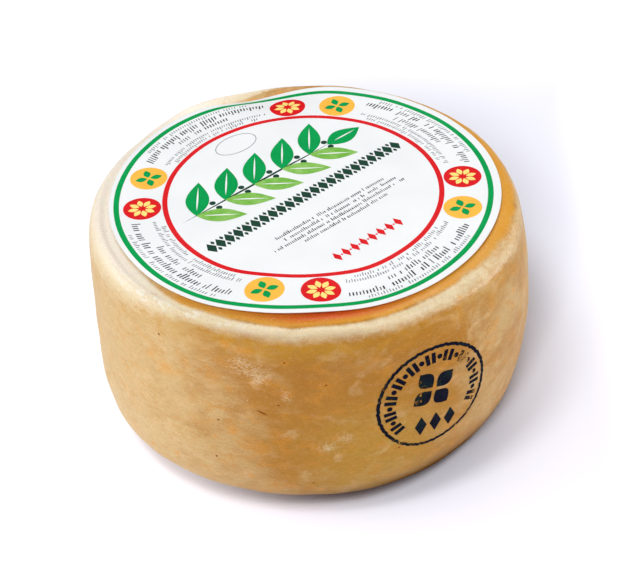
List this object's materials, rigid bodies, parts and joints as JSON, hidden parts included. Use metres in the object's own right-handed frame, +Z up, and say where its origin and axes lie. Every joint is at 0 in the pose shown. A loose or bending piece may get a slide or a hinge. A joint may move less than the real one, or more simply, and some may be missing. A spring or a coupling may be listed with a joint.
{
  "type": "pecorino toscano cheese wheel",
  "caption": "Whole squat wheel of aged sheep's-milk cheese with a golden bulging rind, rounded shoulder and flat foot, and a round paper label glued to its sloping top.",
  "frame": {"origin": "on the surface the wheel stands on, under the middle of its outline", "axes": "+Z up, -Y to the front, where the bare rim shows below the label, +X to the right, where the top is highest"},
  "size_m": [0.1793, 0.1815, 0.1027],
  "materials": {
    "rind": "waxy golden cheese rind, satin, mottled from pale straw to amber, with fine streaks and pin pits",
    "label_paper": "coated white paper, satin, printed in green, red and amber"
  },
  "bodies": {
    "root": {"cheese_wheel": "rind", "paper_label": "label_paper"}
  },
  "joints": []
}
